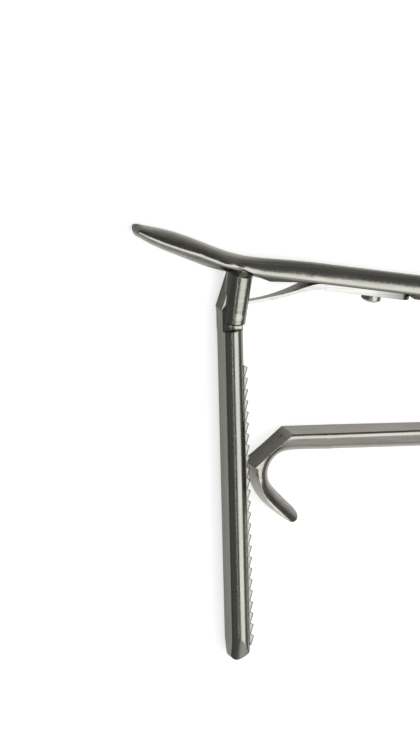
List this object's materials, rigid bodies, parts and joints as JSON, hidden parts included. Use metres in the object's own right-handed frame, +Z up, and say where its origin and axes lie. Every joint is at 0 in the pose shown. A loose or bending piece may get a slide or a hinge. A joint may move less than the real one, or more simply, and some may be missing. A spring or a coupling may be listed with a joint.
{
  "type": "bone holding forceps",
  "caption": "Lap-jointed bone holding forceps with curved serrated jaws and a swinging toothed ratchet bar between the handles, held by a beak and a leaf spring.",
  "frame": {"origin": "where the pivot axis meets the table, at the underside of the joint", "axes": "+X along the forceps to the jaws, +Y to the side of the handle that carries the ratchet bar, +Z up from the table along the pivot axis"},
  "size_m": [0.2648, 0.1262, 0.01],
  "materials": {
    "shank_steel": "satin stainless steel, finely brushed along the shanks",
    "bar_steel": "satin stainless steel, brushed along the bar",
    "spring_steel": "satin stainless spring steel",
    "screw_steel": "satin stainless steel, turned"
  },
  "bodies": {
    "upper": {"upper_shank": "shank_steel", "ratchet_pin": "screw_steel", "spring_screw": "screw_steel", "leaf_spring": "spring_steel"},
    "lower": {"lower_shank": "shank_steel", "pivot_screw": "screw_steel"},
    "ratchet": {"ratchet_bar": "bar_steel"}
  },
  "joints": [
    {"name": "handle_pivot", "type": "hinge", "parent": "upper", "child": "lower", "pos_m": [0, 0, 0], "axis": [0, 0, 1], "range_deg": [-9.5, 22]},
    {"name": "rack_swing", "type": "hinge", "parent": "upper", "child": "ratchet", "pos_m": [-0.1729, 0.01162, 0.005], "axis": [0, 0, -1], "range_deg": [0, 26], "stiffness_Nm_per_rad": 0.05, "deforming": ["leaf_spring"]}
  ]
}
